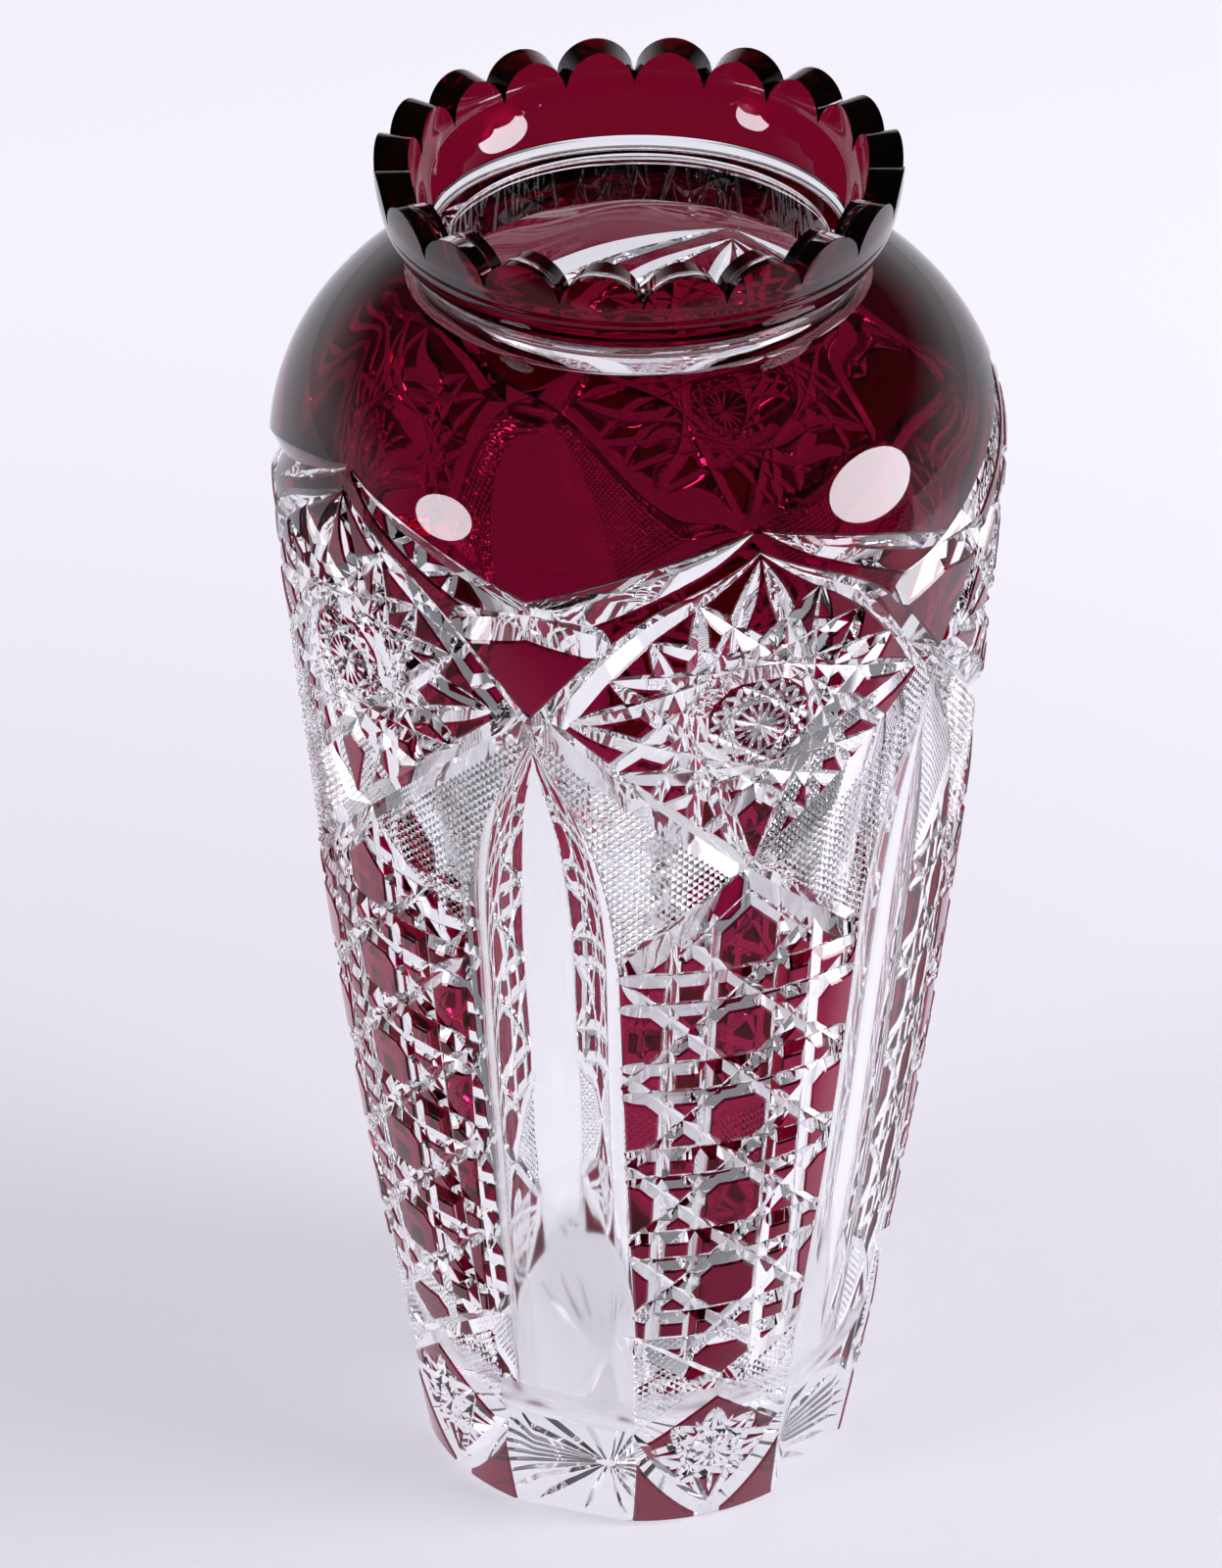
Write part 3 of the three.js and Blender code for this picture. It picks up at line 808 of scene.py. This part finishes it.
class Arrays:
    """The corners and faces of a mesh as arrays, with the middle and the finish number of each face."""

    def __init__(self, mesh):
        self.points = np.empty(len(mesh.vertices) * 3)
        mesh.vertices.foreach_get("co", self.points)
        self.points = self.points.reshape(-1, 3)
        self.middles = np.empty(len(mesh.polygons) * 3)
        mesh.polygons.foreach_get("center", self.middles)
        self.middles = self.middles.reshape(-1, 3)
        self.corners = np.empty(len(mesh.loops), np.int32)
        mesh.loops.foreach_get("vertex_index", self.corners)
        count = len(mesh.polygons)
        self.starts, self.totals, self.finish = (np.empty(count, np.int32) for _ in range(3))
        mesh.polygons.foreach_get("loop_start", self.starts)
        mesh.polygons.foreach_get("loop_total", self.totals)
        mesh.polygons.foreach_get("material_index", self.finish)

    def islands(self):
        """A number for each face that is the same for all faces joined to it."""
        label = np.arange(len(self.points))
        first = np.repeat(self.corners[self.starts], self.totals)
        while True:
            low = np.minimum(label[first], label[self.corners])
            fresh = label.copy()
            np.minimum.at(fresh, first, low)
            np.minimum.at(fresh, self.corners, low)
            fresh = fresh[fresh]
            if (fresh == label).all():
                return label[self.corners[self.starts]]
            label = fresh

    def piece(self, chosen, name):
        faces = [self.corners[s:s + t] for s, t in zip(self.starts[chosen], self.totals[chosen])]
        used = np.unique(np.concatenate(faces))
        made = bpy.data.meshes.new(name)
        made.from_pydata(self.points[used].tolist(), [], [np.searchsorted(used, f).tolist() for f in faces])
        made.polygons.foreach_set("material_index", self.finish[chosen])
        made.update()
        obj = bpy.data.objects.new(name, made)
        bpy.context.scene.collection.objects.link(obj)
        return obj


# Stretches of a profile that meet at less than this angle are one round line. A corner is drawn in a little
# to the middle of its face, to find the stretch that the face lies on.
ROUND_LINE = math.radians(25)
DRAWN_IN = 0.05
CORNERS_AT_ONCE = 20000


def smooth(obj, profile):
    """Rounds the shading of small turns, and gives the turned faces the true normals of their profile."""
    mesh = obj.data
    mesh.shade_smooth()
    mesh.set_sharp_from_angle(angle=SHARP)
    arrays = Arrays(mesh)
    profile = np.asarray(profile, float) * MM
    a, b = profile[:-1], profile[1:]
    d = b - a
    length = np.linalg.norm(d, axis=1)
    own = np.stack([d[:, 1], -d[:, 0]], axis=-1) / length[:, None]
    near = (own[:-1] * own[1:]).sum(axis=1) > math.cos(ROUND_LINE)
    mean = own[:-1] + own[1:]
    mean /= np.linalg.norm(mean, axis=1)[:, None]
    start, end = own.copy(), own.copy()
    start[1:][near] = mean[near]
    end[:-1][near] = mean[near]
    face = np.repeat(np.arange(len(arrays.starts)), arrays.totals)
    wanted = np.flatnonzero((arrays.finish[face] > CUT) & (arrays.finish[face] < INSIDE))
    normals = np.zeros((len(arrays.corners), 3))
    for chunk in np.array_split(wanted, max(1, len(wanted) // CORNERS_AT_ONCE)):
        p = arrays.points[arrays.corners[chunk]]
        p = p + (arrays.middles[face[chunk]] - p) * DRAWN_IN
        flat = np.stack([np.hypot(p[:, 0], p[:, 1]), p[:, 2]], axis=-1)
        t = ((flat[:, None] - a) * d).sum(axis=-1) / (length * length)
        t = np.clip(t, 0, 1)
        gap = np.linalg.norm(flat[:, None] - a - t[..., None] * d, axis=-1)
        best = gap.argmin(axis=1)
        share = t[np.arange(len(best)), best][:, None]
        n = start[best] * (1 - share) + end[best] * share
        n /= np.linalg.norm(n, axis=1)[:, None]
        ring = np.maximum(flat[:, 0], 1e-9)
        normals[chunk] = np.stack([n[:, 0] * p[:, 0] / ring, n[:, 0] * p[:, 1] / ring, n[:, 1]], axis=-1)
    mesh.normals_split_custom_set(normals.tolist())


def finished(obj, materials):
    """Gives a piece its materials, in the order of the finish numbers of its faces."""
    mesh = obj.data
    kinds = Arrays(mesh).finish
    mesh.materials.clear()
    for item in materials:
        mesh.materials.append(item)
    mesh.polygons.foreach_set("material_index", kinds)


# Finishes

GLASS_IOR = 1.53
DRIFT_SCALE = 9.0


def nodes_of(name):
    made = bpy.data.materials.new(name)
    made.use_nodes = True
    return made, made.node_tree.nodes, made.node_tree.links


def varied(nodes, links, first, second, scale):
    """A colour that drifts a little between two near colours."""
    place = nodes.new("ShaderNodeTexCoord")
    noise = nodes.new("ShaderNodeTexNoise")
    noise.inputs["Scale"].default_value = scale
    mix = nodes.new("ShaderNodeMix")
    mix.data_type = "RGBA"
    mix.inputs["A"].default_value = (*first, 1)
    mix.inputs["B"].default_value = (*second, 1)
    links.new(place.outputs["Object"], noise.inputs["Vector"])
    links.new(noise.outputs["Fac"], mix.inputs["Factor"])
    return mix.outputs["Result"]


def shared(nodes, links, operation, first, second):
    """One sum on two values, each a socket or a number."""
    node = nodes.new("ShaderNodeMath")
    node.operation = operation
    for value, socket in zip((first, second), node.inputs):
        if isinstance(value, (int, float)):
            socket.default_value = value
        else:
            links.new(value, socket)
    return node.outputs["Value"]


def ramp(nodes, links, value, low, high, kind="SMOOTHSTEP"):
    """0 at low and 1 at high, whichever of them is the greater."""
    node = nodes.new("ShaderNodeMapRange")
    node.interpolation_type = kind
    node.inputs["From Min"].default_value, node.inputs["From Max"].default_value = low, high
    links.new(value, node.inputs["Value"])
    return node.outputs["Result"]


def glass(name, first, second, roughness=0.0):
    """Clear or coloured glass, whose colour acts each time light passes the face."""
    made, nodes, links = nodes_of(name)
    surface = nodes["Principled BSDF"]
    surface.inputs["Transmission Weight"].default_value = 1.0
    surface.inputs["IOR"].default_value = GLASS_IOR
    surface.inputs["Roughness"].default_value = roughness
    links.new(varied(nodes, links, first, second, DRIFT_SCALE), surface.inputs["Base Color"])
    return made


# The ruby layer is thinnest between the two middle heights, where the blank is drawn out. It is full above
# the last height. Below the first it is painted darker by a share of the full layer's extra colour, as
# painted shade at the foot.
RUBY_THIN_AND_FOOT_SHADE = (0.07, 0.14, 0.21, 0.3)
RUBY_FOOT_SHADE = 0.6


def fused(name, first, second, heights=None):
    """A face where two glasses are melted together, so that light goes straight through. With heights, the
    first colour is that of the thin part, and a share of the second is painted on at the foot as painted
    shade."""
    made, nodes, links = nodes_of(name)
    nodes.remove(nodes["Principled BSDF"])
    clear = nodes.new("ShaderNodeBsdfTransparent")
    if heights is None:
        colour = varied(nodes, links, first, second, DRIFT_SCALE)
    else:
        place = nodes.new("ShaderNodeTexCoord")
        split = nodes.new("ShaderNodeSeparateXYZ")
        links.new(place.outputs["Object"], split.inputs["Vector"])
        mix = nodes.new("ShaderNodeMix")
        mix.data_type = "RGBA"
        mix.inputs["A"].default_value = (*first, 1)
        mix.inputs["B"].default_value = (*second, 1)
        height = split.outputs["Z"]
        # Painted shade: below the first height a share of the darker colour is painted on, darker towards the
        # foot.
        foot = ramp(nodes, links, height, heights[1], heights[0])
        low = shared(nodes, links, "MULTIPLY", foot, RUBY_FOOT_SHADE)
        high = ramp(nodes, links, height, heights[2], heights[3])
        links.new(shared(nodes, links, "MAXIMUM", low, high), mix.inputs["Factor"])
        colour = mix.outputs["Result"]
    links.new(colour, clear.inputs["Color"])
    links.new(clear.outputs["BSDF"], nodes["Material Output"].inputs["Surface"])
    return made


def crystal_finish():
    """Clear and polished, but for the floor of the well. The paper shows through the sole that lies on it."""
    cut = glass("crystal_cut", (0.994, 0.997, 0.997), (1, 1, 1))
    seam = fused("crystal_seam", (1, 1, 1), (0.998, 0.998, 0.998))
    dull = glass("crystal_well_floor", (0.985, 0.985, 0.985), (0.995, 0.995, 0.995), 0.3)
    sole = fused("crystal_sole", (0.84, 0.84, 0.85), (0.92, 0.92, 0.93))
    return [cut, cut, seam, dull, sole, cut]


def ruby_finish():
    skin = glass("ruby_skin", (0.45, 0.05, 0.15), (0.47, 0.055, 0.16))
    # The seam colour holds painted shade at the foot of the vase.
    seam = fused("ruby_seam", (0.44, 0.03, 0.13), (0.24, 0.01, 0.05), RUBY_THIN_AND_FOOT_SHADE)
    return [skin, skin, seam]


def cuff_finish():
    skin = glass("collar_skin", (0.45, 0.05, 0.15), (0.47, 0.055, 0.16))
    seam = fused("collar_seam", (0.28, 0.011, 0.047), (0.3, 0.013, 0.052))
    return [skin, skin, seam]


# Building

def build():
    """Turns the blank and its two ruby layers, and takes all cuts out of them."""
    profile, finish = crystal_profile()
    crystal = turned(profile, finish, "crystal")
    shell, shell_kinds = shell_profile(body_line(0), body_line(CASING))
    ruby = turned(shell, shell_kinds, "ruby_body")
    cuff, cuff_kinds = shell_profile(collar_line(0), collar_line(CASING))
    neck = turned(cuff, cuff_kinds, "ruby_collar")

    cuts = long_cuts() + cane_cuts() + foot_cuts() + star_cuts() + small_star_cuts() + diamond_fields()
    cutters = [flute_cutter()] + [cutter_of(g, f"cut_{i}") for i, g in enumerate(grouped(cuts))]
    notches = notch_cutters()
    under = base_cutters()
    cut_away(crystal, cutters + notches + under)
    cut_away(ruby, cutters)
    cut_away(neck, notches)
    for item in cutters + notches + under:
        bpy.data.objects.remove(item)
    return (crystal, profile), (ruby, shell), (neck, cuff)


# A loose bit of ruby with a smaller surface than this, in square metres, breaks off in the cutting.
CHIP_AREA = 0.6e-6


def middle_of(points):
    """The middle of a piece of the wall: its mean, pushed out to the mean radius."""
    mean = points.mean(axis=0)
    reach = np.hypot(points[:, 0], points[:, 1]).mean()
    across = math.hypot(mean[0], mean[1])
    return np.array([mean[0] * reach / across, mean[1] * reach / across, mean[2]])


def ruby_pieces(ruby, shell):
    """Splits the cut ruby layer into its separate pieces, each for the solids whose middles it covers. What
    covers none goes to one piece of small chips for each panel."""
    arrays = Arrays(ruby.data)
    area = np.empty(len(arrays.starts))
    ruby.data.polygons.foreach_get("area", area)
    centre = arrays.middles
    _, island = np.unique(arrays.islands(), return_inverse=True)
    size = np.bincount(island, weights=area)
    skin = np.flatnonzero(arrays.finish == AIR)
    stands_for = {int(size.argmax()): ["shoulder_casing"]}
    for name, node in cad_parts.items():
        if name in ("crystal_body", "neck_casing", "shoulder_casing"):
            continue
        place = middle_of(np.array([p.co for p in node.data.vertices]))
        nearest = skin[np.linalg.norm(centre[skin] - place, axis=1).argmin()]
        stands_for.setdefault(int(island[nearest]), []).append(name)
    made = []
    for number, names in stands_for.items():
        piece = arrays.piece(island == number, names[0] + "_ruby")
        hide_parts(*names)
        made.append(piece)
    loose = (size > CHIP_AREA) & ~np.isin(np.arange(len(size)), list(stands_for))
    angle = np.arctan2(centre[:, 0], -centre[:, 1]) - FIRST_PANEL
    panel = np.round(angle / SECTOR).astype(int) % PANELS
    home = np.array([panel[island == number][0] if loose[number] else -1 for number in range(len(size))])
    for number in range(PANELS):
        made.append(arrays.piece((home == number)[island], f"chips_panel_{number + 1}"))
    for piece in made:
        smooth(piece, shell)
    bpy.data.objects.remove(ruby)
    return made


def dress():
    (crystal, profile), (ruby, shell), (neck, cuff) = build()
    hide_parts("crystal_body")
    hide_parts("neck_casing")
    smooth(crystal, profile)
    smooth(neck, cuff)
    clear, red = crystal_finish(), ruby_finish()
    finished(crystal, clear)
    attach(crystal, "root")
    finished(neck, cuff_finish())
    pieces = ruby_pieces(ruby, shell)
    for piece in pieces:
        finished(piece, red)
    for piece in [neck, *pieces]:
        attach(piece, "root")


# Studio

# Half the side of the floor, and how far it lies under the vase, in metres
FLOOR_SIZE = 12.0
FLOOR_DROP = 0.0002

# How bright the floor shows to the camera, at the vase and far behind it, and in glass
FLOOR_GLOW = 0.54
FLOOR_GLOW_BACK = 0.84
GLASS_GLOW = 0.78
GLOW_COLOUR = (0.925, 0.905, 1, 1)
PAPER_COLOURS = ((0.545, 0.532, 0.575), (0.555, 0.542, 0.585))
PAPER_SCALE = 3.0
UNLIT_COLOUR = (0.03, 0.03, 0.03, 1)

# The floor brightens over a stretch of Y behind the vase. What the glass shows of it turns dark over a
# stretch before the vase, and darker still over one nearer the camera.
BACK_RAMP = (-0.1, 0.7)
FRONT_RAMP = (-0.105, -0.06)
NEAR_RAMP = (-0.42, -0.3)
FRONT_SHADE = 0.22

# The lamps, and the place that they face
LAMP_COLOUR = (0.96, 0.93, 1.0)
LAMP_AIM = np.array([0, 0, 0.3])

# The world is pale towards the back and low down, over these stretches of a direction's Y and Z
ROOM_DARK = (0.02, 0.02, 0.021, 1)
ROOM_PALE = (0.6, 0.59, 0.63, 1)
ROOM_BACK = (-0.3, 0.4)
ROOM_LOW = (0.4, 0.1)

# The camera, with its place in metres
LENS = 151.64
SENSOR = 36.0
CAMERA_PLACE = (0.0, -1.36712, 1.05417)
CAMERA_TILT = math.radians(57.63)
CAMERA_TURN = math.radians(0.27)


def floor():
    """Pale paper. Its glow shows to the camera and in glass, and there it ends before the vase."""
    size = FLOOR_SIZE
    mesh = bpy.data.meshes.new("floor")
    corners = [(-size, -size, 0), (size, -size, 0), (size, size, 0), (-size, size, 0)]
    mesh.from_pydata(corners, [], [[0, 1, 2, 3]])
    made = bpy.data.objects.new("floor", mesh)
    made.location.z = -FLOOR_DROP
    bpy.context.scene.collection.objects.link(made)
    item, nodes, links = nodes_of("floor_paper")
    nodes.remove(nodes["Principled BSDF"])
    paper = nodes.new("ShaderNodeBsdfDiffuse")
    links.new(varied(nodes, links, *PAPER_COLOURS, PAPER_SCALE), paper.inputs["Color"])
    pale = nodes.new("ShaderNodeEmission")
    pale.inputs["Color"].default_value = GLOW_COLOUR
    seen = nodes.new("ShaderNodeLightPath")
    place = nodes.new("ShaderNodeTexCoord")
    split = nodes.new("ShaderNodeSeparateXYZ")
    links.new(place.outputs["Object"], split.inputs["Vector"])
    depth = split.outputs["Y"]
    back = ramp(nodes, links, depth, *BACK_RAMP)
    more = shared(nodes, links, "MULTIPLY", back, FLOOR_GLOW_BACK - FLOOR_GLOW)
    level = shared(nodes, links, "ADD", more, FLOOR_GLOW)
    glossy, through = seen.outputs["Is Glossy Ray"], seen.outputs["Is Transmission Ray"]
    in_glass = shared(nodes, links, "MAXIMUM", glossy, through)
    to_camera = shared(nodes, links, "MULTIPLY", seen.outputs["Is Camera Ray"], level)
    to_glass = shared(nodes, links, "MULTIPLY", in_glass, GLASS_GLOW)
    links.new(shared(nodes, links, "ADD", to_camera, to_glass), pale.inputs["Strength"])
    together = nodes.new("ShaderNodeAddShader")
    links.new(paper.outputs["BSDF"], together.inputs[0])
    links.new(pale.outputs["Emission"], together.inputs[1])
    shade = shared(nodes, links, "MULTIPLY", ramp(nodes, links, depth, *NEAR_RAMP), FRONT_SHADE)
    full = shared(nodes, links, "MULTIPLY", ramp(nodes, links, depth, *FRONT_RAMP), 1 - FRONT_SHADE)
    near = shared(nodes, links, "ADD", shade, full)
    lit = shared(nodes, links, "MAXIMUM", seen.outputs["Is Camera Ray"], near)
    unlit = nodes.new("ShaderNodeBsdfDiffuse")
    unlit.inputs["Color"].default_value = UNLIT_COLOUR
    mixed = nodes.new("ShaderNodeMixShader")
    links.new(lit, mixed.inputs["Fac"])
    links.new(unlit.outputs["BSDF"], mixed.inputs[1])
    links.new(together.outputs["Shader"], mixed.inputs[2])
    links.new(mixed.outputs["Shader"], nodes["Material Output"].inputs["Surface"])
    mesh.materials.append(item)


def softbox(name, azimuth, elevation, distance, width, height, power):
    """A round soft light that faces the shoulder of the vase."""
    lamp = bpy.data.lights.new(name, "AREA")
    lamp.shape = "ELLIPSE"
    lamp.size, lamp.size_y, lamp.energy = width, height, power
    lamp.color = LAMP_COLOUR
    made = bpy.data.objects.new(name, lamp)
    a, e = math.radians(azimuth), math.radians(elevation)
    away = np.array([math.sin(a) * math.cos(e), -math.cos(a) * math.cos(e), math.sin(e)])
    made.location = away * distance + LAMP_AIM
    made.rotation_euler = (math.pi / 2 - e, 0, a)
    bpy.context.scene.collection.objects.link(made)


def room():
    """The world: pale behind the vase, dark above it and behind the camera."""
    world = bpy.data.worlds.new("room")
    bpy.context.scene.world = world
    world.use_nodes = True
    nodes, links = world.node_tree.nodes, world.node_tree.links
    place = nodes.new("ShaderNodeTexCoord")
    split = nodes.new("ShaderNodeSeparateXYZ")
    links.new(place.outputs["Generated"], split.inputs["Vector"])
    back = ramp(nodes, links, split.outputs["Y"], *ROOM_BACK, "LINEAR")
    low = ramp(nodes, links, split.outputs["Z"], *ROOM_LOW, "LINEAR")
    mix = nodes.new("ShaderNodeMix")
    mix.data_type = "RGBA"
    mix.inputs["A"].default_value = ROOM_DARK
    mix.inputs["B"].default_value = ROOM_PALE
    links.new(shared(nodes, links, "MULTIPLY", back, low), mix.inputs["Factor"])
    links.new(mix.outputs["Result"], nodes["Background"].inputs["Color"])


def camera():
    lens = bpy.data.cameras.new("camera")
    lens.lens = LENS
    lens.sensor_width = SENSOR
    made = bpy.data.objects.new("camera", lens)
    made.location = CAMERA_PLACE
    made.rotation_euler = (CAMERA_TILT, 0.0, CAMERA_TURN)
    bpy.context.scene.collection.objects.link(made)
    bpy.context.scene.camera = made


dress()
floor()
softbox("softbox_right", 76, 14, 1.25, 0.68, 0.62, 15)
softbox("softbox_left", -60, 10, 1.8, 0.6, 0.64, 13)
room()
camera()
scene = bpy.context.scene
scene.view_settings.view_transform = "Standard"
scene.cycles.max_bounces = 32
scene.cycles.transmission_bounces = 32
scene.cycles.glossy_bounces = 12
scene.cycles.transparent_max_bounces = 32
